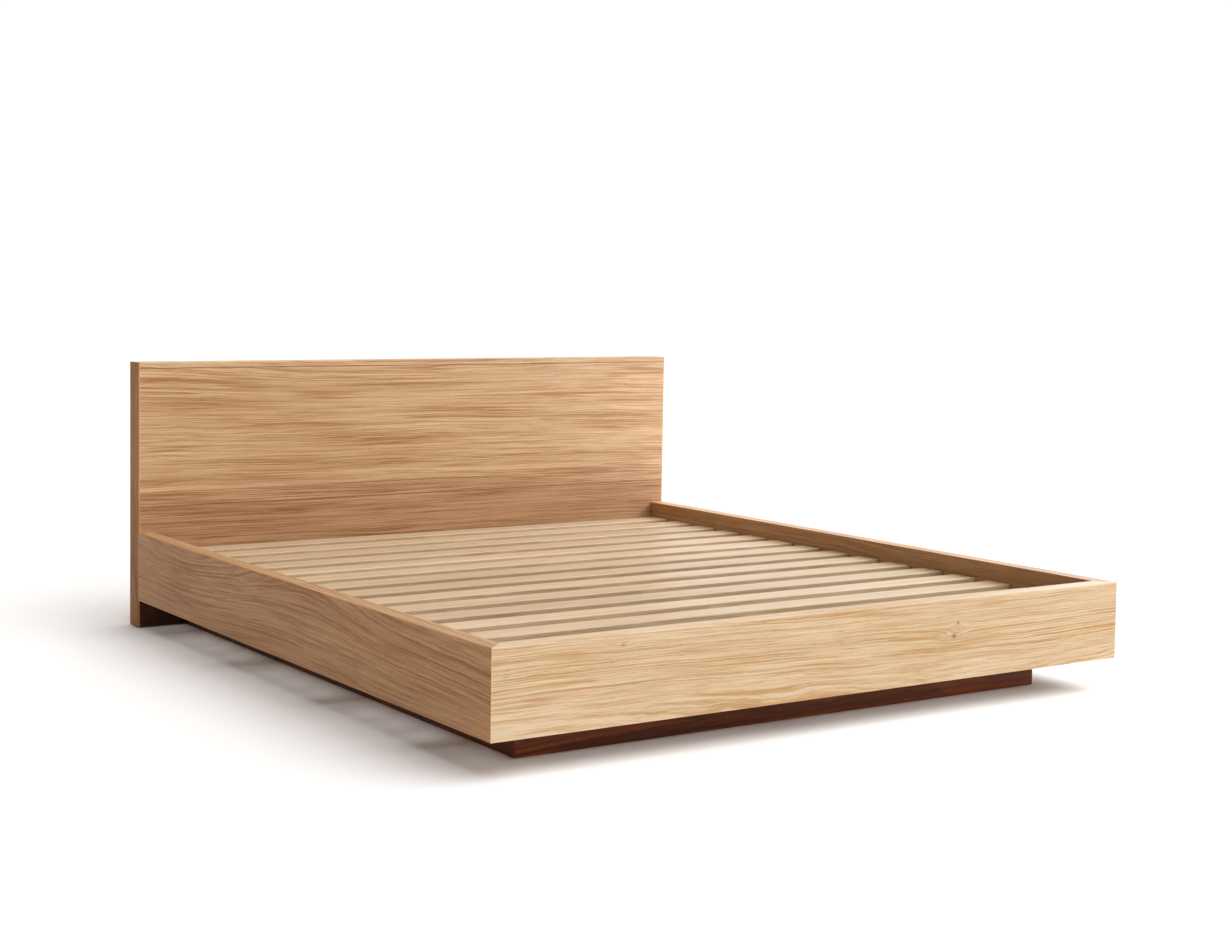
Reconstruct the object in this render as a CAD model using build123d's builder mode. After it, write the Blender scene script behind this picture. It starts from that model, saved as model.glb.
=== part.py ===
"""Wooden platform bed frame for an 1800 x 2000 mm mattress, as an assembly of separate pieces.

Millimetres, +Z up. The origin is on the floor under the middle of the frame, the foot end faces -Y
and the headboard stands at +Y. Every piece is exported as its own STEP file in parts/.
"""
import os

from build123d import *

# ---- overall sizes -------------------------------------------------------------------------------
frame_width = 1910          # outer faces of the two side rails, and the headboard
inner_length = 2085         # outer face of the foot rail to the front of the headboard
headboard_height = 795
headboard_front_thickness = 45
headboard_back_thickness = 27
lipping_thickness = 4       # solid oak strip on each end of the headboard
headboard_glide_height = 3  # plastic glides keep all wood off the floor
plinth_glide_height = 1

# ---- rails ---------------------------------------------------------------------------------------
rail_bottom = 83            # underside of the rails above the floor
rail_height = 203
rail_thickness = 45
edge_radius = 1.5           # softened long edges of the oak boards

# ---- headboard boards, from the floor up: the height of each joint ----------------------------------
kick_top = rail_bottom
lower_board_top = 361
middle_board_top = 404
upper_board_top = 776
back_board_width = 90       # rails and stiles of the frame on the back of the headboard
back_middle_rail_bottom = 295
back_screw_length = 50
dowel_radius = 5
dowel_length = 60
short_dowel_length = 36     # in the two joints of the narrow middle board
dowels_per_joint = 8
dowel_end_gap = 120         # from the ends of the headboard to the first and last dowel
dowel_gap = 0.1             # clearance round every dowel, screw and bolt

# ---- slatted base ----------------------------------------------------------------------------------
slat_top = 236              # the mattress lies 50 mm below the top of the rails
slat_thickness = 18
slat_width = 80
slat_count = 15
slat_side_gap = 2           # from a slat's end to the side rail
slat_end_gap = 22           # from the first and last slat to the foot rail and the headboard
cleat_width = 30
cleat_height = 40
beam_width = 45
beam_height = 70
bearer_width = 60
bearer_count = 4
bearer_end_gap = 130        # from the plinth's end boards to the middle of the first and last bearer

# ---- plinth ----------------------------------------------------------------------------------------
plinth_inset = 150          # from the outer faces of the rails to the plinth
plinth_thickness = 22
plinth_block_size = 40
plinth_screw_reach = 26     # from the corner of a block to its screws
glide_radius = 9
plinth_glide_ys = (-880, -300, 300, 880)
headboard_glide_xs = (-900, -300, 300, 900)

# ---- steel fittings --------------------------------------------------------------------------------
angle_leg = 40
angle_thickness = 3
angle_height = 50
angle_screw_reach = 26      # from the corner of an angle bracket to its screws
angle_screw_heights = (14, 36)
angle_screw_length = 22
head_bracket_leg = 60
head_bracket_thickness = 5
head_bracket_height = 112
head_bracket_z0 = 95
head_bolt_length = 28
head_screw_length = 32
fitting_clearance = 0.3     # round the screws and bolts in the steel fittings
corner_block_size = 60
block_screw_reach = 40      # from the corner of a foot corner block to its screws
screw_radius = 2.5
screw_head_radius = 5
screw_head_height = 3
bolt_radius = 4
bolt_head_radius = 7
bolt_head_height = 5
insert_radius = 6.5
insert_length = 20

# ---- derived positions -----------------------------------------------------------------------------
half_width = frame_width / 2
total_length = inner_length + headboard_front_thickness + headboard_back_thickness
foot_y = -total_length / 2                      # outer face of the foot rail
head_y = foot_y + inner_length                  # front face of the headboard
joint_y = head_y + headboard_front_thickness    # between the headboard's boards and its back frame
back_y = total_length / 2                       # rear face of the headboard
inner_x = half_width - rail_thickness           # inner faces of the side rails
inner_foot_y = foot_y + rail_thickness          # inner face of the foot rail
rail_top = rail_bottom + rail_height
cleat_top = slat_top - slat_thickness
beam_bottom = cleat_top - beam_height
bearer_height = beam_bottom - rail_bottom
plinth_x = half_width - plinth_inset            # outer faces of the plinth's side boards
plinth_inner_x = plinth_x - plinth_thickness
plinth_foot_y = foot_y + plinth_inset           # outer face of the plinth's foot board
plinth_inner_foot_y = plinth_foot_y + plinth_thickness
plinth_head_y = head_y - 1                      # the plinth stops just short of the headboard
plinth_inner_head_y = plinth_head_y - plinth_thickness
headboard_inner_x = half_width - lipping_thickness
sides = (("left", -1), ("right", 1))

bearer_pitch = (plinth_inner_head_y - plinth_inner_foot_y - 2 * bearer_end_gap) / (bearer_count - 1)
bearer_ys = [plinth_inner_foot_y + bearer_end_gap + i * bearer_pitch for i in range(bearer_count)]
slat_pitch = (head_y - inner_foot_y - 2 * slat_end_gap - slat_width) / (slat_count - 1)
slat_ys = [inner_foot_y + slat_end_gap + slat_width / 2 + i * slat_pitch for i in range(slat_count)]

os.makedirs("parts", exist_ok=True)


def save(piece, name):
    """Labels one finished piece and writes its STEP file."""
    piece.part.label = name
    export_step(piece.part, f"parts/{name}.step")


def slab(x0, x1, y0, y1, z0, z1):
    """Adds a rectangular board between two corners to the piece being built."""
    with Locations(((x0 + x1) / 2, (y0 + y1) / 2, z0)):
        Box(x1 - x0, y1 - y0, z1 - z0, align=(Align.CENTER, Align.CENTER, Align.MIN))


def drill(planes, radius, depth):
    """Drills a round hole at each plane, along its +Z, or along its -Z for a negative depth."""
    end = Align.MIN if depth > 0 else Align.MAX
    with Locations(*planes):
        Cylinder(radius, abs(depth), align=(Align.CENTER, Align.CENTER, end), mode=Mode.SUBTRACT)


def add_fasteners(planes, radius, length, head_radius, head_height):
    """Adds a screw or bolt at each plane: the shank runs along +Z, the socket head stands outside."""
    with Locations(*planes):
        Cylinder(radius, length, align=(Align.CENTER, Align.CENTER, Align.MIN))
        Cylinder(head_radius, head_height, align=(Align.CENTER, Align.CENTER, Align.MAX))
    with BuildSketch(*[plane.offset(-head_height) for plane in planes]) as sockets:
        RegularPolygon(head_radius * 0.5, 6)
    extrude(sockets.sketch, amount=head_height * 0.6, mode=Mode.SUBTRACT)


def facing(x, y, z, direction):
    """A plane at a point whose +Z is the way a fastener is driven."""
    return Plane(origin=(x, y, z), z_dir=direction)


# ---- where every fastener goes ---------------------------------------------------------------------
joint_heights = (kick_top, lower_board_top, middle_board_top)
dowel_pitch = (frame_width - 2 * dowel_end_gap) / (dowels_per_joint - 1)
dowel_xs = [-half_width + dowel_end_gap + i * dowel_pitch for i in range(dowels_per_joint)]
dowel_half = {
    kick_top: dowel_length / 2,
    lower_board_top: short_dowel_length / 2,
    middle_board_top: short_dowel_length / 2,
}
dowel_y = head_y + headboard_front_thickness / 2

# Screws that hold the frame of the headboard's back to its front boards.
back_rail_bottoms = (headboard_glide_height, back_middle_rail_bottom, headboard_height - back_board_width)
back_screw_planes = [
    facing(x, back_y - screw_head_height, bottom + back_board_width / 2, (0, -1, 0))
    for x in (-half_width + 50, -half_width * 0.5, 0, half_width * 0.5, half_width - 50)
    for bottom in back_rail_bottoms
]

# Screws through the foot corner blocks into the side rails and the foot rail.
block_screw_planes = []
for _, side in sides:
    leg_x = side * (inner_x - block_screw_reach)
    for z in (120, 190):
        block_screw_planes += [
            facing(side * (inner_x - corner_block_size), inner_foot_y + block_screw_reach, z, (side, 0, 0)),
            facing(leg_x, inner_foot_y + corner_block_size, z - 25, (0, -1, 0)),
        ]
block_screw_length = corner_block_size + 28

# Screws through the cleats into the side rails.
cleat_y0 = inner_foot_y + corner_block_size + 2
cleat_y1 = head_y - head_bracket_leg - 6
cleat_screw_ys = [cleat_y0 + 60 + i * (cleat_y1 - cleat_y0 - 120) / 6 for i in range(7)]
cleat_screw_planes = [
    facing(side * (inner_x - cleat_width), y, cleat_top - cleat_height / 2, (side, 0, 0))
    for _, side in sides
    for y in cleat_screw_ys
]
cleat_screw_length = cleat_width + 28

# Bolts through the head brackets into threaded inserts, and screws into the side rails.
head_bolt_planes = [
    facing(side * (inner_x - 35), head_y - head_bracket_thickness, z, (0, 1, 0))
    for _, side in sides
    for z in (head_bracket_z0 + 22, head_bracket_z0 + 88)
]
head_screw_planes = [
    facing(side * (inner_x - head_bracket_thickness), head_y - y, z, (side, 0, 0))
    for _, side in sides
    for y, z in ((22, head_bracket_z0 + 22), (22, head_bracket_z0 + 88), (44, head_bracket_z0 + 55))
]

# Angle brackets: (corner x, corner y, bottom z, way of the first leg in x, way of the second leg in y).
angle_corners = []
for y in bearer_ys:
    for _, side in sides:
        angle_corners.append((side * inner_x, y + bearer_width / 2, rail_bottom + 8, -side, 1))
for _, side in sides:
    angle_corners.append((side * beam_width / 2, inner_foot_y, beam_bottom + 10, side, 1))
    angle_corners.append((side * beam_width / 2, head_y, beam_bottom + 10, side, -1))
angle_screw_planes = []
for x, y, z, way_x, way_y in angle_corners:
    for dz in angle_screw_heights:
        angle_screw_planes += [
            facing(x + way_x * angle_screw_reach, y + way_y * angle_thickness, z + dz, (0, -way_y, 0)),
            facing(x + way_x * angle_thickness, y + way_y * angle_screw_reach, z + dz, (-way_x, 0, 0)),
        ]

# Screws through the slats into the cleats and the centre beam.
slat_screw_planes = [
    facing(x, y, slat_top - 2, (0, 0, -1))
    for y in slat_ys
    for x in (-inner_x + 18, 0, inner_x - 18)
    if x == 0 or cleat_y0 + 10 < y < cleat_y1 - 10
]
slat_screw_length = 30

# Screws through the bearers into the top edges of the plinth.
plinth_mid_x = plinth_x - plinth_thickness / 2
bearer_screw_planes = [
    facing(x, y + dy, rail_bottom + 12, (0, 0, -1))
    for y in bearer_ys
    for x in (-plinth_mid_x, plinth_mid_x)
    for dy in (-15, 15)
]
bearer_screw_length = 52

# Screws through the blocks in the plinth's corners.
plinth_block_corners = [
    (side * plinth_inner_x, y, -side, way)
    for _, side in sides
    for y, way in ((plinth_inner_foot_y, 1), (plinth_inner_head_y, -1))
]
plinth_screw_planes = []
for x, y, way_x, way_y in plinth_block_corners:
    plinth_screw_planes += [
        facing(x + way_x * plinth_block_size, y + way_y * plinth_screw_reach, 30, (-way_x, 0, 0)),
        facing(x + way_x * plinth_screw_reach, y + way_y * plinth_block_size, 55, (0, -way_y, 0)),
    ]
plinth_screw_length = plinth_block_size + 14

# ---- headboard: five oak boards, one above the other -----------------------------------------------
headboard_boards = (
    ("headboard_kick_board", headboard_glide_height, kick_top),
    ("headboard_lower_board", kick_top, lower_board_top),
    ("headboard_middle_board", lower_board_top, middle_board_top),
    ("headboard_upper_board", middle_board_top, upper_board_top),
    ("headboard_top_board", upper_board_top, headboard_height),
)
for board_name, z0, z1 in headboard_boards:
    with BuildPart() as board:
        slab(-headboard_inner_x, headboard_inner_x, head_y, joint_y, z0, z1)
        if z1 == headboard_height:
            fillet(board.edges().filter_by(Axis.X).sort_by(Axis.Z)[-2:].sort_by(Axis.Y)[0], edge_radius)
        for joint_z in joint_heights:
            if joint_z in (z0, z1):
                way = 1 if joint_z == z0 else -1
                holes = [facing(x, dowel_y, joint_z, (0, 0, way)) for x in dowel_xs]
                drill(holes, dowel_radius + dowel_gap, dowel_half[joint_z] + 1)
        drill(back_screw_planes, screw_radius + dowel_gap, back_screw_length + 1)
        drill(head_bolt_planes, insert_radius + dowel_gap, head_bracket_thickness + 34)
        drill(angle_screw_planes, screw_radius + dowel_gap, angle_screw_length + 1)
    save(board, board_name)

with BuildPart() as headboard_dowels:
    for joint_z in joint_heights:
        bottoms = [facing(x, dowel_y, joint_z - dowel_half[joint_z], (0, 0, 1)) for x in dowel_xs]
        with BuildSketch(*bottoms):
            Circle(dowel_radius)
        extrude(amount=2 * dowel_half[joint_z])
save(headboard_dowels, "headboard_dowels")

for side_name, side in sides:
    with BuildPart() as lipping:
        xs = sorted((side * headboard_inner_x, side * half_width))
        slab(xs[0], xs[1], head_y, back_y, headboard_glide_height, headboard_height)
        fillet(lipping.edges().filter_by(Axis.Z).group_by(Axis.X)[0 if side < 0 else -1], edge_radius)
    save(lipping, f"headboard_edge_{side_name}")

# ---- frame on the back of the headboard ------------------------------------------------------------
stile_inner_x = headboard_inner_x - back_board_width
for side_name, side in sides:
    with BuildPart() as stile:
        xs = sorted((side * headboard_inner_x, side * stile_inner_x))
        slab(xs[0], xs[1], joint_y, back_y, headboard_glide_height, headboard_height)
        drill(back_screw_planes, screw_radius + dowel_gap, back_screw_length)
        drill(back_screw_planes, screw_head_radius + dowel_gap, -screw_head_height - 1)
    save(stile, f"headboard_back_stile_{side_name}")

for rail_name, bottom in zip(("bottom", "middle", "top"), back_rail_bottoms):
    with BuildPart() as back_rail:
        slab(-stile_inner_x, stile_inner_x, joint_y, back_y, bottom, bottom + back_board_width)
        drill(back_screw_planes, screw_radius + dowel_gap, back_screw_length)
        drill(back_screw_planes, screw_head_radius + dowel_gap, -screw_head_height - 1)
    save(back_rail, f"headboard_back_{rail_name}_rail")

with BuildPart() as back_screws:
    add_fasteners(back_screw_planes, screw_radius, back_screw_length, screw_head_radius, screw_head_height)
save(back_screws, "headboard_back_screws")

# ---- rails, mitred together at the foot ------------------------------------------------------------
for side_name, side in sides:
    with BuildPart() as side_rail:
        with BuildSketch(Plane.XY.offset(rail_bottom)):
            with BuildLine():
                Polyline(
                    (side * half_width, foot_y),
                    (side * half_width, head_y),
                    (side * inner_x, head_y),
                    (side * inner_x, inner_foot_y),
                    close=True,
                )
            make_face()
        extrude(amount=rail_height)
        fillet(side_rail.edges().filter_by(Axis.Y), edge_radius)
        drill(block_screw_planes, screw_radius + dowel_gap, block_screw_length + 1)
        drill(cleat_screw_planes, screw_radius + dowel_gap, cleat_screw_length + 1)
        drill(head_screw_planes, screw_radius + dowel_gap, head_screw_length + 1)
        drill(angle_screw_planes, screw_radius + dowel_gap, angle_screw_length + 1)
    save(side_rail, f"side_rail_{side_name}")

with BuildPart() as foot_rail:
    with BuildSketch(Plane.XY.offset(rail_bottom)):
        with BuildLine():
            Polyline(
                (-half_width, foot_y),
                (half_width, foot_y),
                (inner_x, inner_foot_y),
                (-inner_x, inner_foot_y),
                close=True,
            )
        make_face()
    extrude(amount=rail_height)
    fillet(foot_rail.edges().filter_by(Axis.X), edge_radius)
    drill(block_screw_planes, screw_radius + dowel_gap, block_screw_length + 1)
    drill(angle_screw_planes, screw_radius + dowel_gap, angle_screw_length + 1)
save(foot_rail, "foot_rail")

# ---- blocks in the foot corners --------------------------------------------------------------------
for side_name, side in sides:
    with BuildPart() as corner_block:
        xs = sorted((side * inner_x, side * (inner_x - corner_block_size)))
        slab(xs[0], xs[1], inner_foot_y, inner_foot_y + corner_block_size, rail_bottom + 5, cleat_top)
        inner_edge = corner_block.edges().filter_by(Axis.Z).sort_by(
            lambda edge: abs(edge.center().X) - edge.center().Y
        )[0]
        chamfer(inner_edge, 12)
        drill(block_screw_planes, screw_radius + dowel_gap, block_screw_length)
    save(corner_block, f"foot_corner_block_{side_name}")

with BuildPart() as block_screws:
    add_fasteners(
        block_screw_planes, screw_radius, block_screw_length, screw_head_radius, screw_head_height
    )
save(block_screws, "corner_block_screws")

# ---- brackets that hang the side rails on the headboard --------------------------------------------
for side_name, side in sides:
    with BuildPart() as head_bracket:
        corner_x = side * inner_x
        with BuildSketch(Plane.XY.offset(head_bracket_z0)):
            with BuildLine():
                Polyline(
                    (corner_x, head_y),
                    (corner_x, head_y - head_bracket_leg),
                    (corner_x - side * head_bracket_thickness, head_y - head_bracket_leg),
                    (corner_x - side * head_bracket_thickness, head_y - head_bracket_thickness),
                    (corner_x - side * head_bracket_leg, head_y - head_bracket_thickness),
                    (corner_x - side * head_bracket_leg, head_y),
                    close=True,
                )
            make_face()
        extrude(amount=head_bracket_height)
        drill(head_bolt_planes, bolt_radius + fitting_clearance, head_bracket_thickness)
        drill(head_screw_planes, screw_radius + fitting_clearance, head_bracket_thickness)
    save(head_bracket, f"head_bracket_{side_name}")

with BuildPart() as head_bolts:
    add_fasteners(head_bolt_planes, bolt_radius, head_bolt_length, bolt_head_radius, bolt_head_height)
save(head_bolts, "head_bracket_bolts")

with BuildPart() as head_inserts:
    insert_planes = [plane.offset(head_bracket_thickness + 2) for plane in head_bolt_planes]
    with BuildSketch(*insert_planes):
        Circle(insert_radius)
        Circle(bolt_radius + dowel_gap, mode=Mode.SUBTRACT)
    extrude(amount=insert_length)
save(head_inserts, "headboard_threaded_inserts")

with BuildPart() as head_screws:
    add_fasteners(head_screw_planes, screw_radius, head_screw_length, screw_head_radius, screw_head_height)
save(head_screws, "head_bracket_screws")

# ---- cleats under the ends of the slats ------------------------------------------------------------
for side_name, side in sides:
    with BuildPart() as cleat:
        xs = sorted((side * inner_x, side * (inner_x - cleat_width)))
        slab(xs[0], xs[1], cleat_y0, cleat_y1, cleat_top - cleat_height, cleat_top)
        drill(cleat_screw_planes, screw_radius + dowel_gap, cleat_screw_length)
        drill(slat_screw_planes, screw_radius + dowel_gap, slat_screw_length + 1)
    save(cleat, f"slat_cleat_{side_name}")

with BuildPart() as cleat_screws:
    add_fasteners(
        cleat_screw_planes, screw_radius, cleat_screw_length, screw_head_radius, screw_head_height
    )
save(cleat_screws, "cleat_screws")

# ---- centre beam and the bearers that carry it -----------------------------------------------------
with BuildPart() as centre_beam:
    slab(-beam_width / 2, beam_width / 2, inner_foot_y, head_y, beam_bottom, cleat_top)
    drill(angle_screw_planes, screw_radius + dowel_gap, angle_screw_length + 1)
    drill(slat_screw_planes, screw_radius + dowel_gap, slat_screw_length + 1)
save(centre_beam, "centre_beam")

for number, y in enumerate(bearer_ys, start=1):
    with BuildPart() as bearer:
        slab(-inner_x, inner_x, y - bearer_width / 2, y + bearer_width / 2, rail_bottom, beam_bottom)
        drill(angle_screw_planes, screw_radius + dowel_gap, angle_screw_length + 1)
        own_screws = [plane for plane in bearer_screw_planes if abs(plane.origin.Y - y) < bearer_width]
        drill(own_screws, screw_radius + dowel_gap, bearer_screw_length)
        drill(own_screws, screw_head_radius + 1, -bearer_height)
    save(bearer, f"bearer_{number}")

with BuildPart() as bearer_screws:
    add_fasteners(
        bearer_screw_planes, screw_radius, bearer_screw_length, screw_head_radius, screw_head_height
    )
save(bearer_screws, "bearer_screws")

with BuildPart() as angle_brackets:
    for x, y, z, way_x, way_y in angle_corners:
        with BuildSketch(Plane.XY.offset(z)):
            with BuildLine():
                Polyline(
                    (x, y),
                    (x + way_x * angle_leg, y),
                    (x + way_x * angle_leg, y + way_y * angle_thickness),
                    (x + way_x * angle_thickness, y + way_y * angle_thickness),
                    (x + way_x * angle_thickness, y + way_y * angle_leg),
                    (x, y + way_y * angle_leg),
                    close=True,
                )
            make_face()
        extrude(amount=angle_height)
    drill(angle_screw_planes, screw_radius + fitting_clearance, angle_thickness)
save(angle_brackets, "angle_brackets")

with BuildPart() as angle_screws:
    add_fasteners(
        angle_screw_planes, screw_radius, angle_screw_length, screw_head_radius, screw_head_height
    )
save(angle_screws, "angle_bracket_screws")

# ---- slats -----------------------------------------------------------------------------------------
slat_half = inner_x - slat_side_gap
for number, y in enumerate(slat_ys, start=1):
    with BuildPart() as slat:
        slab(-slat_half, slat_half, y - slat_width / 2, y + slat_width / 2, cleat_top, slat_top)
        fillet(slat.edges().filter_by(Axis.X), 3)
        own_screws = [plane for plane in slat_screw_planes if abs(plane.origin.Y - y) < 1]
        drill(own_screws, screw_radius + dowel_gap, slat_screw_length)
        drill(own_screws, screw_head_radius + dowel_gap, -4)
    save(slat, f"slat_{number:02d}")

with BuildPart() as slat_screws:
    add_fasteners(slat_screw_planes, screw_radius, slat_screw_length, screw_head_radius, 1.8)
save(slat_screws, "slat_screws")

# ---- plinth ----------------------------------------------------------------------------------------
for side_name, side in sides:
    with BuildPart() as plinth_side:
        with BuildSketch(Plane.XY.offset(plinth_glide_height)):
            with BuildLine():
                Polyline(
                    (side * plinth_x, plinth_foot_y),
                    (side * plinth_x, plinth_head_y),
                    (side * plinth_inner_x, plinth_head_y),
                    (side * plinth_inner_x, plinth_inner_foot_y),
                    close=True,
                )
            make_face()
        extrude(amount=rail_bottom - plinth_glide_height)
        drill(plinth_screw_planes, screw_radius + dowel_gap, plinth_screw_length + 1)
        drill(bearer_screw_planes, screw_radius + dowel_gap, bearer_screw_length + 1)
    save(plinth_side, f"plinth_side_{side_name}")

with BuildPart() as plinth_foot:
    with BuildSketch(Plane.XY.offset(plinth_glide_height)):
        with BuildLine():
            Polyline(
                (-plinth_x, plinth_foot_y),
                (plinth_x, plinth_foot_y),
                (plinth_inner_x, plinth_inner_foot_y),
                (-plinth_inner_x, plinth_inner_foot_y),
                close=True,
            )
        make_face()
    extrude(amount=rail_bottom - plinth_glide_height)
    drill(plinth_screw_planes, screw_radius + dowel_gap, plinth_screw_length + 1)
save(plinth_foot, "plinth_foot_board")

with BuildPart() as plinth_head:
    ys = (plinth_inner_head_y, plinth_head_y)
    slab(-plinth_inner_x, plinth_inner_x, *ys, plinth_glide_height, rail_bottom)
    drill(plinth_screw_planes, screw_radius + dowel_gap, plinth_screw_length + 1)
save(plinth_head, "plinth_head_board")

with BuildPart() as plinth_centre:
    half = plinth_thickness / 2
    slab(-half, half, plinth_inner_foot_y, plinth_inner_head_y, plinth_glide_height, rail_bottom)
save(plinth_centre, "plinth_centre_board")

with BuildPart() as plinth_blocks:
    for x, y, way_x, way_y in plinth_block_corners:
        xs = sorted((x, x + way_x * plinth_block_size))
        ys = sorted((y, y + way_y * plinth_block_size))
        slab(xs[0], xs[1], ys[0], ys[1], plinth_glide_height + 7, rail_bottom - 5)
    drill(plinth_screw_planes, screw_radius + dowel_gap, plinth_screw_length)
save(plinth_blocks, "plinth_corner_blocks")

with BuildPart() as plinth_screws:
    add_fasteners(
        plinth_screw_planes, screw_radius, plinth_screw_length, screw_head_radius, screw_head_height
    )
save(plinth_screws, "plinth_block_screws")

# ---- glides under the plinth and the headboard -----------------------------------------------------
plinth_glide_spots = [(x, y) for x in (-plinth_mid_x, 0, plinth_mid_x) for y in plinth_glide_ys]
headboard_glide_spots = [(x, joint_y) for x in headboard_glide_xs]
with BuildPart() as glides:
    for spots, height in (
        (plinth_glide_spots, plinth_glide_height),
        (headboard_glide_spots, headboard_glide_height),
    ):
        with BuildSketch():
            with Locations(*spots):
                Circle(glide_radius)
        extrude(amount=height)
save(glides, "floor_glides")
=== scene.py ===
"""Looks for the wooden bed frame: oak, stained plinth, slatted base and fittings, floor, light and camera.

Everything is in metres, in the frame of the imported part: +Y runs from the foot to the headboard.
"""
import math

import bpy
from mathutils import Matrix, Vector


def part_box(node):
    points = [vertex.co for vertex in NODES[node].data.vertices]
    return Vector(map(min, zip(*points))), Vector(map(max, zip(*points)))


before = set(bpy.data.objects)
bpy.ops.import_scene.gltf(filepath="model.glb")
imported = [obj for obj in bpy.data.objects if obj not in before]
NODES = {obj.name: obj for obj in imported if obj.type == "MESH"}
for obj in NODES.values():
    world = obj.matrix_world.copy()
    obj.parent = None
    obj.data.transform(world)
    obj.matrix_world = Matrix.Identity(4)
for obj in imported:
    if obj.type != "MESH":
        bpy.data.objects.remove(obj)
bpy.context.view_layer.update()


# ---- node helpers --------------------------------------------------------------------------------------
class Tree:
    """A short way to write a material's nodes."""

    def __init__(self, name):
        self.mat = bpy.data.materials.new(name)
        self.mat.use_nodes = True
        self.nt = self.mat.node_tree
        self.nt.nodes.clear()
        out = self.nt.nodes.new("ShaderNodeOutputMaterial")
        self.bsdf = self.nt.nodes.new("ShaderNodeBsdfPrincipled")
        self.nt.links.new(self.bsdf.outputs[0], out.inputs["Surface"])

    def put(self, value, socket):
        """Links a socket, or sets a plain value."""
        if isinstance(value, bpy.types.NodeSocket):
            self.nt.links.new(value, socket)
        elif isinstance(value, tuple) and len(value) == 3 and socket.type == "RGBA":
            socket.default_value = (*value, 1.0)
        else:
            socket.default_value = value

    def math(self, op, a, b=0.0, clamp=False):
        n = self.nt.nodes.new("ShaderNodeMath")
        n.operation = op
        n.use_clamp = clamp
        self.put(a, n.inputs[0])
        self.put(b, n.inputs[1])
        return n.outputs[0]

    def add(self, first, *rest):
        for value in rest:
            first = self.math("ADD", first, value)
        return first

    def sub(self, a, b):
        return self.math("SUBTRACT", a, b)

    def mul(self, a, b, clamp=False):
        return self.math("MULTIPLY", a, b, clamp)

    def centred(self, noise, amount):
        """A noise swung round zero, over the given amount from end to end."""
        return self.mul(self.sub(noise, 0.5), amount)

    def remap(self, value, a, b, c=0.0, d=1.0, smooth=False):
        n = self.nt.nodes.new("ShaderNodeMapRange")
        n.interpolation_type = "SMOOTHSTEP" if smooth else "LINEAR"
        for v, name in ((value, "Value"), (a, "From Min"), (b, "From Max"), (c, "To Min"), (d, "To Max")):
            self.put(v, n.inputs[name])
        return n.outputs[0]

    def noise(self, vector, scale=1.0, detail=2.0, rough=0.5):
        n = self.nt.nodes.new("ShaderNodeTexNoise")
        self.put(vector, n.inputs["Vector"])
        n.inputs["Scale"].default_value = scale
        n.inputs["Detail"].default_value = detail
        n.inputs["Roughness"].default_value = rough
        return n.outputs["Fac"]

    def stretched(self, *spans, detail=2.0, rough=0.5):
        """Noise over three spans, each a plain value or a coordinate with its waves per metre."""
        places = (self.mul(*span) if isinstance(span, tuple) else span for span in spans)
        return self.noise(self.combine(*places), 1.0, detail, rough)

    def white(self, x, y, z):
        """A random value from 0 to 1 for three numbers."""
        n = self.nt.nodes.new("ShaderNodeTexWhiteNoise")
        n.noise_dimensions = "3D"
        self.put(self.combine(x, y, z), n.inputs["Vector"])
        return n.outputs["Value"]

    def combine(self, x, y, z):
        n = self.nt.nodes.new("ShaderNodeCombineXYZ")
        for value, socket in zip((x, y, z), n.inputs):
            self.put(value, socket)
        return n.outputs[0]

    def position(self):
        """The three coordinates of the point, in the part's own frame."""
        coords = self.nt.nodes.new("ShaderNodeTexCoord")
        split = self.nt.nodes.new("ShaderNodeSeparateXYZ")
        self.nt.links.new(coords.outputs["Object"], split.inputs[0])
        return split.outputs

    def mix(self, fac, a, b, mode="MIX"):
        n = self.nt.nodes.new("ShaderNodeMix")
        n.data_type = "RGBA"
        n.blend_type = mode
        for value, index in ((fac, 0), (a, 6), (b, 7)):
            self.put(value, n.inputs[index])
        return n.outputs[2]

    def bump(self, height, strength, distance):
        n = self.nt.nodes.new("ShaderNodeBump")
        n.inputs["Strength"].default_value = strength
        n.inputs["Distance"].default_value = distance
        self.put(height, n.inputs["Height"])
        self.nt.links.new(n.outputs[0], self.bsdf.inputs["Normal"])


# ---- wood ----------------------------------------------------------------------------------------------
def palette(light, mid, line, pore):
    return {"light": light, "mid": mid, "line": line, "pore": pore}


OAK = palette((0.68, 0.46, 0.27), (0.57, 0.36, 0.195), (0.40, 0.20, 0.078), (0.20, 0.10, 0.045))
PALE_OAK = palette((0.665, 0.52, 0.345), (0.59, 0.425, 0.25), (0.41, 0.19, 0.035), (0.17, 0.075, 0.03))
RICH_OAK = palette((0.68, 0.46, 0.27), (0.57, 0.36, 0.195), (0.35, 0.15, 0.045), (0.16, 0.07, 0.025))
STAIN = palette((0.225, 0.058, 0.018), (0.135, 0.033, 0.011), (0.075, 0.021, 0.010), (0.03, 0.010, 0.006))
PINE = palette((0.62, 0.46, 0.27), (0.55, 0.38, 0.21), (0.42, 0.25, 0.115), (0.32, 0.18, 0.08))
BIRCH = palette((0.54, 0.41, 0.265), (0.48, 0.345, 0.21), (0.37, 0.24, 0.13), (0.27, 0.165, 0.085))

# which coordinates run along the fibres, across the face and behind it
GRAIN = {"X": (0, 2, 1), "Y": (1, 2, 0), "Z": (2, 1, 0), "X flat": (0, 1, 2)}

# waves per metre, along the fibres and across them
BEND = (1.7, 6.0)
RIPPLE = (8.0, 32.0)
RAGGED = (40.0, 210.0)
FIBRE = (12.0, 430.0)
PORE = (42.0, 900.0)
CLOUD = (1.6, 11.0)

# waves per metre, along the fibres and outwards from ring to ring
STREAK = (1.5, 150.0)
HAIR = (4.5, 330.0)
VEIN = (0.9, 80.0)
VEIN_PLACES = (2.4, 26.0)
FLAME = (1.1, 95.0)
CROWD = (1.3, 24.0)

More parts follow.
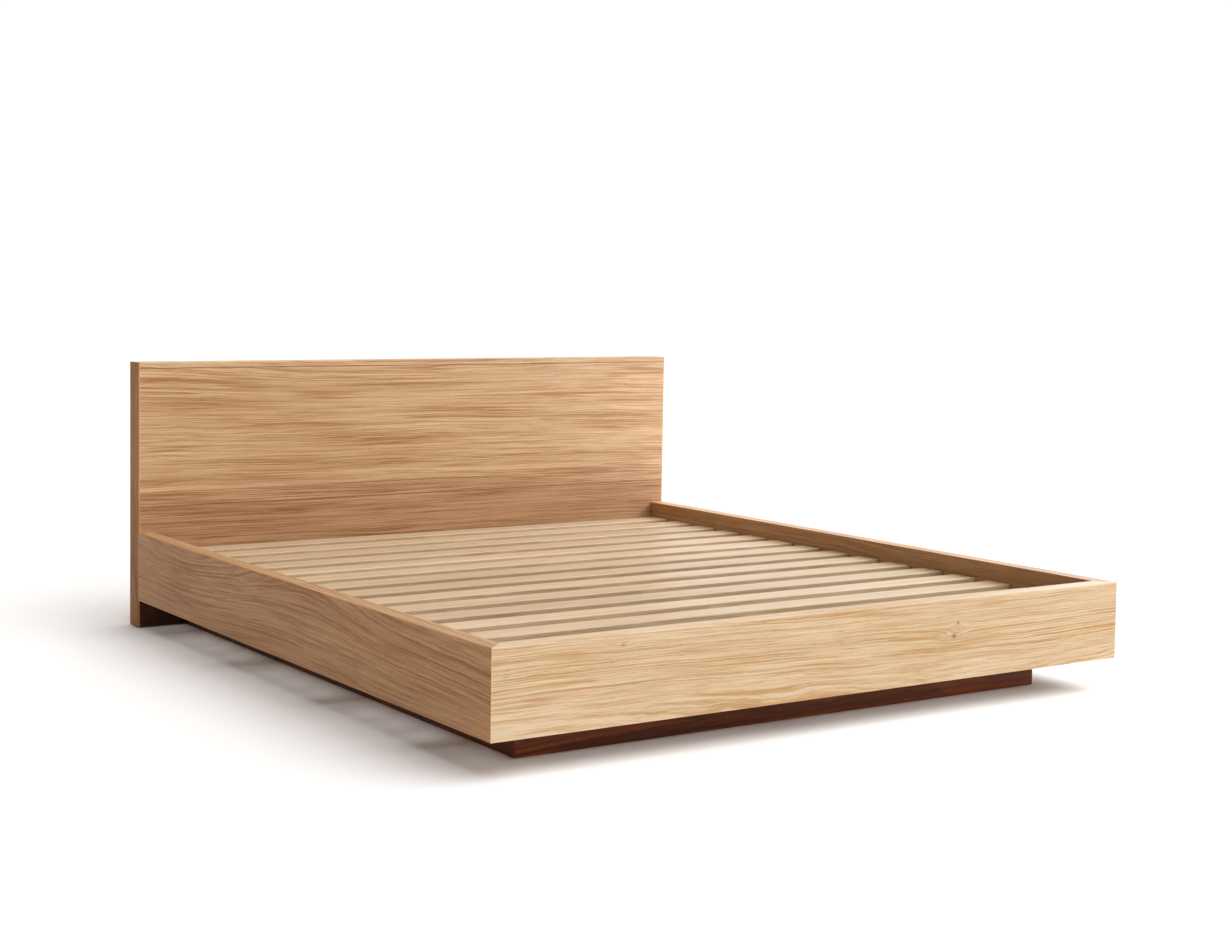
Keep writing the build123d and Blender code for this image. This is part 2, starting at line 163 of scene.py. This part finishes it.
# a noise starts to show at the first value and shows fully at the second
LIMITS = {"streak": (0.54, 0.63), "hair": (0.52, 0.62), "flame": (0.56, 0.76), "pale vein": (0.58, 0.64),
          "pore": (0.60, 0.72), "cloud": (0.30, 0.70)}

# a ring's dark line rises and falls over these shares of the ring, and a vein fades over this half width
RING_RISE, RING_FALL = (0.0, 0.14), (0.16, 0.85)
VEIN_FADE = (0.012, 0.048)

# how strongly each part of the figure colours the wood
SHOWS = {"ring": 0.62, "streak": 0.46, "hair": 0.36, "flame": 0.22, "vein": 0.62, "pale vein": 0.40,
         "pore": 0.75, "knot": 0.9}
CROWD_SHARE = (0.45, 1.35)

# how much lighter or darker fibres and whole slats are, and how much paler the edges are, partly wear and
# partly a painted highlight
FIBRE_LEVEL, SLAT_LEVEL, WORN_AND_HIGHLIGHT_LEVEL = 0.38, 0.09, 0.10

# how each part changes the roughness and the height of the surface
ROUGHER = {"ring": 0.10, "streak": 0.16, "worn_and_highlight": -0.08}
HIGHER = {"ring": -0.5, "pore": -0.8, "fibre": 0.35}
BUMP_STRENGTH, BUMP_DEPTH = 0.5, 0.00035

# distances in metres
RAGGED_BY = 0.0010
# how wide the paler edges are, part wear and part painted highlight
WORN_AND_HIGHLIGHT_EDGE = (0.0005, 0.0045)
SEAM_WIDTH = (0.0016, 0.0034)
# how deep into the board the painted shade of its shaded face reaches
SHADED_FACE_DEPTH = (0.0008, 0.0024)

# rings: waves per metre of their uneven spacing and by how many rings it shifts them
UNEVEN_WAVES, UNEVEN_RINGS = 30.0, 2.5

# how far along the fibres one seed or slat is from the next in the noise
SEED_STEP, SLAT_STEP = 7.31, 5.17


def spot(x, z, size_u, size_v, push, dark_u, dark_v):
    """A knot or crack: its place from the board's low corner, how it bends the rings, its dark middle."""
    return {"at": (x, z), "size": (size_u, size_v), "push": push, "dark": (dark_u, dark_v)}


def wood(name, colours, grain, seed, box, heart=(0.0, 0.10), spacing=0.0055, sway=0.05, wave=0.006,
         pace=0.45, contrast=1.0, tone=(1.0, 1.0, 1.0), outer_tone=None, knots=(), seam=0.0, cells=None,
         roughness=0.44, gloss=0.38):
    """Sawn wood as a solid pattern: rings round a wandering heart, streaks, pores and paler edges, part
    wear and part painted highlight.

    grain names the axis that the fibres follow, and heart is the pith's place across and behind the face.
    sway, wave and pace say how the rings wander, spacing is their pitch. outer_tone gives the face at the
    low end of the third coordinate a darker tone, painted shade for a face turned from the light. seam
    darkens the lower joint. cells, a start and a pitch along Y, gives each slat a figure of its own.
    """
    t = Tree(name)
    axes = GRAIN[grain]
    place = t.position()
    u, v, w = (place[i] for i in axes)
    lo, hi = ([corner[i] for i in axes] for corner in box)
    shift = seed * SEED_STEP
    if cells:
        cell = t.math("FLOOR", t.math("DIVIDE", t.sub(place[1], cells[0]), cells[1]))
        shift = t.add(t.mul(cell, SLAT_STEP), shift)
    us = t.add(u, shift)
    vc = t.sub(v, (lo[1] + hi[1]) / 2 + heart[0])
    wc = t.sub(w, (lo[2] + hi[2]) / 2)

    def through(waves, detail=2.0, rough=0.5):
        """Noise through the whole board, drawn out along the fibres."""
        along, across = waves
        return t.stretched((us, along), (v, across), (w, across), detail=detail, rough=rough)

    def near_spot(knot, size):
        """1 at a knot on the board's face, falling to 0 round it."""
        du = t.mul(t.sub(u, lo[0] + knot["at"][0]), 1 / size[0])
        dv = t.mul(t.sub(v, lo[1] + knot["at"][1]), 1 / size[1])
        return t.math("EXPONENT", t.mul(t.add(t.mul(du, du), t.mul(dv, dv)), -1.0))

    # the heart wanders along the board, which draws the arches and the long waves
    slow = t.stretched((us, pace), seed, 0.0, detail=1.0, rough=0.4)
    slow_behind = t.stretched((us, pace * 1.3), seed + 9.0, 3.0, detail=1.0, rough=0.4)
    bend = through(BEND, detail=3.0)
    across = t.add(vc, t.centred(slow, sway))
    behind = t.add(wc, heart[1], t.centred(slow_behind, sway * 1.6))
    radius = t.math("SQRT", t.add(t.mul(across, across), t.mul(behind, behind)))
    radius = t.add(radius, t.centred(bend, wave * 2), t.centred(through(RIPPLE), wave * 0.55),
                   t.centred(through(RAGGED, rough=0.6), RAGGED_BY))
    for knot in knots:
        radius = t.add(radius, t.mul(near_spot(knot, knot["size"]), knot["push"]))

    def on_rings(waves, third, detail=2.0, rough=0.5):
        """Noise that follows the rings."""
        along, outwards = waves
        return t.stretched((us, along), (radius, outwards), third, detail=detail, rough=rough)

    # one ring after another, each with a sharp dark start that fades out
    uneven = t.stretched((radius, UNEVEN_WAVES), seed, 0.0, detail=1.0)
    ring = t.add(t.math("DIVIDE", radius, spacing), t.mul(uneven, UNEVEN_RINGS))
    part = t.math("FRACT", ring)
    number = t.math("FLOOR", ring)
    weight = t.remap(t.white(number, seed, 1.0), 0.0, 1.0, 0.25, 1.0)
    fade = t.stretched((us, 1.4), (number, 3.7), seed, detail=1.0)
    line = t.mul(t.remap(part, *RING_RISE, smooth=True), t.remap(part, *RING_FALL, 1.0, 0.0, smooth=True))
    line = t.mul(line, t.mul(weight, t.remap(fade, 0.32, 0.62, 0.15, 1.0)))

    # streaks and fine hairs between the rings, fibres and open pores
    streak = on_rings(STREAK, (v, 20.0), detail=3.0, rough=0.64)
    hair = on_rings(HAIR, (v, 110.0), rough=0.6)
    flame = on_rings(FLAME, seed)
    fibre = through(FIBRE, rough=0.6)
    pore = t.remap(through(PORE, detail=1.0), *LIMITS["pore"], smooth=True)
    pore = t.mul(pore, t.add(t.mul(line, 0.8), 0.2))

    # thin veins run with the rings, come and go along the board, and have paler ones between them
    contour = on_rings(VEIN, seed, detail=3.0, rough=0.62)
    gap = t.math("ABSOLUTE", t.sub(contour, 0.5))
    there = t.remap(on_rings(VEIN_PLACES, seed + 4.0), 0.38, 0.62, 0.1, 1.0)
    vein = t.mul(t.remap(gap, *VEIN_FADE, 1.0, 0.0, smooth=True), there)
    pale_vein = t.remap(contour, *LIMITS["pale vein"], smooth=True)

    # the figure is crowded in some places and calm in others
    calm, busy = (share * contrast for share in CROWD_SHARE)
    crowd = t.remap(on_rings(CROWD, seed + 8.0), 0.36, 0.64, calm, busy)

    def lay(colour, amount, part_name, strength=1.0, shade="line"):
        """Colours the wood where a part of its figure is."""
        share = t.mul(amount, t.mul(strength, SHOWS[part_name]), clamp=True)
        return t.mix(share, colour, colours[shade])

    cloud = t.remap(through(CLOUD, detail=3.0), *LIMITS["cloud"])
    colour = t.mix(cloud, colours["light"], colours["mid"])
    colour = lay(colour, line, "ring", crowd)
    colour = lay(colour, t.remap(streak, *LIMITS["streak"], smooth=True), "streak", crowd)
    colour = lay(colour, t.remap(hair, *LIMITS["hair"], smooth=True), "hair", contrast)
    colour = lay(colour, t.remap(flame, *LIMITS["flame"], smooth=True), "flame", contrast)
    colour = lay(colour, vein, "vein", contrast)
    colour = lay(colour, pale_vein, "pale vein", shade="light")
    colour = lay(colour, pore, "pore", shade="pore")
    for knot in knots:
        colour = lay(colour, near_spot(knot, knot["dark"]), "knot", shade="pore")
    if seam:
        joint = t.remap(t.sub(v, lo[1]), *SEAM_WIDTH, 1.0, 0.0, smooth=True)
        colour = t.mix(t.mul(joint, seam), colour, colours["pore"])

    # the long edges are handled most, so they are a little polished, and they are painted paler: partly
    # wear, partly a painted highlight
    near = []
    for axis, coordinate in zip(axes, (u, v, w)):
        near.append(t.math("MINIMUM", t.sub(coordinate, box[0][axis]), t.sub(box[1][axis], coordinate)))
    inner = t.math("MINIMUM", t.math("MAXIMUM", near[1], near[2]), near[0])
    second = t.math("MAXIMUM", t.math("MINIMUM", near[1], near[2]), inner)
    worn_and_highlight = t.remap(t.add(second, t.centred(bend, 0.003)), *WORN_AND_HIGHLIGHT_EDGE, 1.0, 0.0, smooth=True)

    level = t.add(t.centred(fibre, FIBRE_LEVEL), 1.0)
    if cells:
        level = t.add(level, t.remap(t.white(cell, seed, 5.0), 0.0, 1.0, -SLAT_LEVEL, SLAT_LEVEL))
    # painted highlight along the edges, mixed with real wear
    level = t.add(level, t.mul(worn_and_highlight, WORN_AND_HIGHLIGHT_LEVEL))
    # painted shade: a darker tone on the face at the low end of the third coordinate, the side turned from
    # the light
    if outer_tone:
        tone = t.mix(t.remap(t.sub(w, lo[2]), *SHADED_FACE_DEPTH, smooth=True), outer_tone, tone)
    colour = t.mix(1.0, colour, tone, "MULTIPLY")
    colour = t.mix(1.0, colour, t.combine(level, level, level), "MULTIPLY")
    t.put(colour, t.bsdf.inputs["Base Color"])

    rough = t.add(t.mul(line, ROUGHER["ring"]), t.centred(streak, ROUGHER["streak"]),
                  t.mul(worn_and_highlight, ROUGHER["worn_and_highlight"]), roughness)
    t.put(rough, t.bsdf.inputs["Roughness"])
    t.bsdf.inputs["Specular IOR Level"].default_value = gloss
    height = t.add(t.mul(line, HIGHER["ring"]), t.mul(pore, HIGHER["pore"]), t.mul(fibre, HIGHER["fibre"]))
    t.bump(height, BUMP_STRENGTH, BUMP_DEPTH)
    return t.mat


def paint(node, material):
    """Gives a CAD node its material."""
    for material_slot in NODES[node].material_slots:
        material_slot.material = material


def corners(node):
    return [tuple(corner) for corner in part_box(node)]


def board(node, colours, grain, seed, **extra):
    """Gives one board a wood of its own."""
    paint(node, wood(node, colours, grain, seed, corners(node), **extra))


# rails: the foot rail is the palest board; the left one gets a darker tone, painted shade, and a darker,
# browner outer face, painted shade of the face turned from the light
foot_knots = (
    spot(1.326, 0.111, 0.05, 0.016, 0.012, 0.0065, 0.005),
    spot(1.339, 0.143, 0.035, 0.012, -0.008, 0.005, 0.003),
    spot(0.335, 0.179, 0.03, 0.010, 0.006, 0.006, 0.0015),
)
board("foot_rail", PALE_OAK, "X", 3.0, heart=(-0.12, 0.11), sway=0.06, wave=0.011, knots=foot_knots)
board("side_rail_left", OAK, "Y", 11.0, heart=(0.14, -0.10), sway=0.10, wave=0.007, pace=0.6,
      contrast=1.35, tone=(0.80, 0.73, 0.66), outer_tone=(0.79, 0.66, 0.54), gloss=0.12)
board("side_rail_right", OAK, "Y", 17.0, heart=(-0.14, 0.10), sway=0.10, wave=0.007, pace=0.6,
      contrast=1.2, tone=(0.95, 0.90, 0.86), gloss=0.3)

# headboard: the figure of the upper board runs on into the top board, round one heart above both. The
# boards' tones darken from the top down, painted shade low on the headboard.
HEADBOARD_HEART_Z, HEADBOARD_HEART_DEPTH = 0.89, 0.12
crack = spot(0.161, 0.0015, 0.03, 0.004, 0.002, 0.035, 0.0012)
for node, seam, knots in (("headboard_upper_board", 0.6, ()), ("headboard_top_board", 0.9, (crack,))):
    low, high = corners(node)
    heart = (HEADBOARD_HEART_Z - (low[2] + high[2]) / 2, HEADBOARD_HEART_DEPTH)
    board(node, RICH_OAK, "X", 23.0, heart=heart, sway=0.16, wave=0.009, contrast=1.35,
          tone=(0.93, 0.93, 0.88), seam=seam, knots=knots)
# painted shade: the middle and lower boards are toned darker
board("headboard_middle_board", RICH_OAK, "X", 31.0, heart=(0.10, 0.09), contrast=1.6,
      tone=(0.83, 0.78, 0.73), seam=0.9)
board("headboard_lower_board", RICH_OAK, "X", 37.0, heart=(-0.16, 0.12), contrast=1.5,
      tone=(0.73, 0.64, 0.56))
# the kick board's stain gets a darker tone than the plinth's, painted shade under the rails at the head
board("headboard_kick_board", STAIN, "X", 41.0, contrast=2.2, tone=(0.50, 0.58, 0.62), gloss=0.2)
# the left edge gets a darker tone, painted shade, and a darker, browner outer face, painted shade of the
# face turned from the light
board("headboard_edge_left", OAK, "Z", 43.0, contrast=0.8, tone=(0.80, 0.72, 0.64),
      outer_tone=(0.60, 0.45, 0.32), gloss=0.05)
board("headboard_edge_right", OAK, "Z", 47.0, contrast=0.8, tone=(0.85, 0.76, 0.68), gloss=0.2)
board("headboard_back_stile_left", OAK, "Z", 53.0, heart=(0.02, 0.12))
board("headboard_back_stile_right", OAK, "Z", 59.0, heart=(0.01, 0.13))
board("headboard_back_top_rail", OAK, "X", 61.0, heart=(0.01, 0.11))
board("headboard_back_middle_rail", OAK, "X", 67.0, heart=(-0.01, 0.12))
board("headboard_back_bottom_rail", OAK, "X", 71.0, heart=(0.0, 0.12))

# plinth
board("plinth_foot_board", STAIN, "X", 73.0, contrast=1.8, tone=(1.28, 1.22, 0.95), gloss=0.2)
for side, seed in (("left", 79.0), ("right", 83.0)):
    board(f"plinth_side_{side}", STAIN, "Y", seed, contrast=2.0, tone=(0.98, 0.92, 0.75), gloss=0.2)
board("plinth_head_board", STAIN, "X", 89.0)
board("plinth_centre_board", STAIN, "Y", 97.0)

# base under the mattress
BEARERS, SLATS = 4, 15
board("centre_beam", PINE, "Y", 101.0, spacing=0.005)
board("slat_cleat_left", PINE, "Y", 103.0)
board("slat_cleat_right", PINE, "Y", 107.0)
for number in range(1, BEARERS + 1):
    board(f"bearer_{number}", PINE, "X", 110.0 + number, spacing=0.006)
for side in ("left", "right"):
    board(f"foot_corner_block_{side}", PINE, "Z", 120.0)
board("plinth_corner_blocks", PINE, "Z", 127.0)
first_slat = corners("slat_01")
pitch = corners("slat_02")[0][1] - first_slat[0][1]
slat_width = first_slat[1][1] - first_slat[0][1]
slat_wood = wood("slats", BIRCH, "X flat", 131.0, first_slat, spacing=0.007, contrast=0.8,
                 cells=(first_slat[0][1] - (pitch - slat_width) / 2, pitch))
for number in range(1, SLATS + 1):
    paint(f"slat_{number:02d}", slat_wood)
paint("headboard_dowels", wood("dowels", BIRCH, "Z", 137.0, corners("headboard_dowels")))


# ---- metal and plastic ---------------------------------------------------------------------------------
def metal(name, colour, worn_colour, metallic, rough, scale):
    """A metal or plastic with cloudy wear and a fine grit."""
    t = Tree(name)
    place = t.combine(*t.position())
    cloud = t.noise(place, scale, 4.0, 0.6)
    grit = t.noise(place, scale * 14, 2.0, 0.6)
    t.put(t.mix(t.remap(cloud, 0.4, 0.7), colour, worn_colour), t.bsdf.inputs["Base Color"])
    t.bsdf.inputs["Metallic"].default_value = metallic
    t.put(t.remap(cloud, 0.3, 0.7, rough - 0.08, rough + 0.10), t.bsdf.inputs["Roughness"])
    t.bump(grit, 0.3, 0.0002)
    return t.mat


zinc = metal("zinc", (0.62, 0.62, 0.60), (0.48, 0.48, 0.47), 1.0, 0.34, 60.0)
black = metal("black_coat", (0.030, 0.030, 0.032), (0.055, 0.053, 0.052), 0.0, 0.48, 40.0)
brass = metal("brass", (0.72, 0.54, 0.27), (0.56, 0.40, 0.19), 1.0, 0.32, 60.0)
plastic = metal("glide_plastic", (0.11, 0.095, 0.085), (0.15, 0.13, 0.12), 0.0, 0.55, 80.0)
for node in NODES:
    if node.endswith("screws") or node.endswith("bolts"):
        paint(node, zinc)
for node in ("head_bracket_left", "head_bracket_right", "angle_brackets"):
    paint(node, black)
paint("headboard_threaded_inserts", brass)
paint("floor_glides", plastic)

# ---- camera --------------------------------------------------------------------------------------------
CAMERA_PLACE = (-3.0125, -4.586, 1.06)
YAW, PITCH, ROLL = math.radians(33.959), math.radians(-3.6053), math.radians(0.9054)
SENSOR_WIDTH, LENS, SHIFT_Y = 36, 57.094, -0.049
forward = Vector((math.sin(YAW), math.cos(YAW), 0))
right = Vector((math.cos(YAW), -math.sin(YAW), 0))
up = Vector((0, 0, 1))
look = forward * math.cos(PITCH) + up * math.sin(PITCH)
top = up * math.cos(PITCH) - forward * math.sin(PITCH)
camera_x = right * math.cos(ROLL) + top * math.sin(ROLL)
camera_y = top * math.cos(ROLL) - right * math.sin(ROLL)
camera = bpy.data.objects.new("camera", bpy.data.cameras.new("camera"))
bpy.context.collection.objects.link(camera)
turn = Matrix((camera_x, camera_y, -look)).transposed().to_4x4()
camera.matrix_world = Matrix.Translation(CAMERA_PLACE) @ turn
camera.data.sensor_width = SENSOR_WIDTH
camera.data.lens = LENS
camera.data.shift_y = SHIFT_Y
bpy.context.scene.camera = camera
bpy.context.scene.view_settings.view_transform = "Standard"

# ---- floor ---------------------------------------------------------------------------------------------
FLOOR_SIZE = 80
bpy.ops.mesh.primitive_plane_add(size=FLOOR_SIZE)
floor = bpy.context.object
floor.name = "floor"
paper = Tree("floor")
paper.bsdf.inputs["Base Color"].default_value = (0.93, 0.93, 0.93, 1)
paper.bsdf.inputs["Roughness"].default_value = 0.8
paper.bsdf.inputs["Specular IOR Level"].default_value = 0.1
floor.data.materials.append(paper.mat)

# ---- light ---------------------------------------------------------------------------------------------
# the room is warm and dim, a little brighter towards +X, and the camera sees it as white
ROOM_COLOUR, ROOM_DIM, ROOM_BRIGHT = (1.0, 0.90, 0.84, 1), 0.21, 0.40
BACKDROP = 1.05
world = bpy.data.worlds.new("studio")
bpy.context.scene.world = world
world.use_nodes = True
tree = world.node_tree
room = tree.nodes["Background"]
room.inputs[0].default_value = ROOM_COLOUR
coords = tree.nodes.new("ShaderNodeTexCoord")
split = tree.nodes.new("ShaderNodeSeparateXYZ")
slope = tree.nodes.new("ShaderNodeMapRange")
for socket, value in zip(("From Min", "From Max", "To Min", "To Max"), (-0.7, 0.7, ROOM_DIM, ROOM_BRIGHT)):
    slope.inputs[socket].default_value = value
backdrop = tree.nodes.new("ShaderNodeBackground")
backdrop.inputs[0].default_value = (1, 1, 1, 1)
backdrop.inputs[1].default_value = BACKDROP
path = tree.nodes.new("ShaderNodeLightPath")
pick = tree.nodes.new("ShaderNodeMixShader")
for output, socket in (
    (coords.outputs["Generated"], split.inputs[0]),
    (split.outputs[0], slope.inputs["Value"]),
    (slope.outputs[0], room.inputs[1]),
    (path.outputs["Is Camera Ray"], pick.inputs[0]),
    (room.outputs[0], pick.inputs[1]),
    (backdrop.outputs[0], pick.inputs[2]),
    (pick.outputs[0], tree.nodes["World Output"].inputs["Surface"]),
):
    tree.links.new(output, socket)


def lamp(name, kind, power, direction, colour=(1, 1, 1)):
    """A light that comes from a direction."""
    data = bpy.data.lights.new(name, kind)
    data.energy = power
    data.color = colour
    thing = bpy.data.objects.new(name, data)
    bpy.context.collection.objects.link(thing)
    thing.rotation_euler = Vector(direction).to_track_quat("Z", "Y").to_euler()
    return thing


def sun(name, towards, power, angle):
    """A broad, even light from far away."""
    lamp(name, "SUN", power, towards).data.angle = math.radians(angle)


def softbox(name, place, aim, size, power, colour=(1, 1, 1)):
    """A round area light at a place, turned towards a point."""
    thing = lamp(name, "AREA", power, Vector(place) - Vector(aim), colour)
    thing.location = place
    thing.data.shape = "DISK"
    thing.data.size = size


sun("key", (0.40, -0.45, 0.80), 3.3, 78)
sun("back", (0.35, 0.75, 0.45), 0.7, 60)
softbox("right", (2.6, -1.6, 1.7), (0.9, 0.9, 0.45), 1.2, 12)
softbox("glow", (2.0, 0.0, 1.2), (0.85, 1.0, 0.6), 0.7, 15, (0.85, 1.0, 1.2))
softbox("low", (2.6, -2.2, 0.35), (0.8, -0.9, 0.05), 0.6, 4)
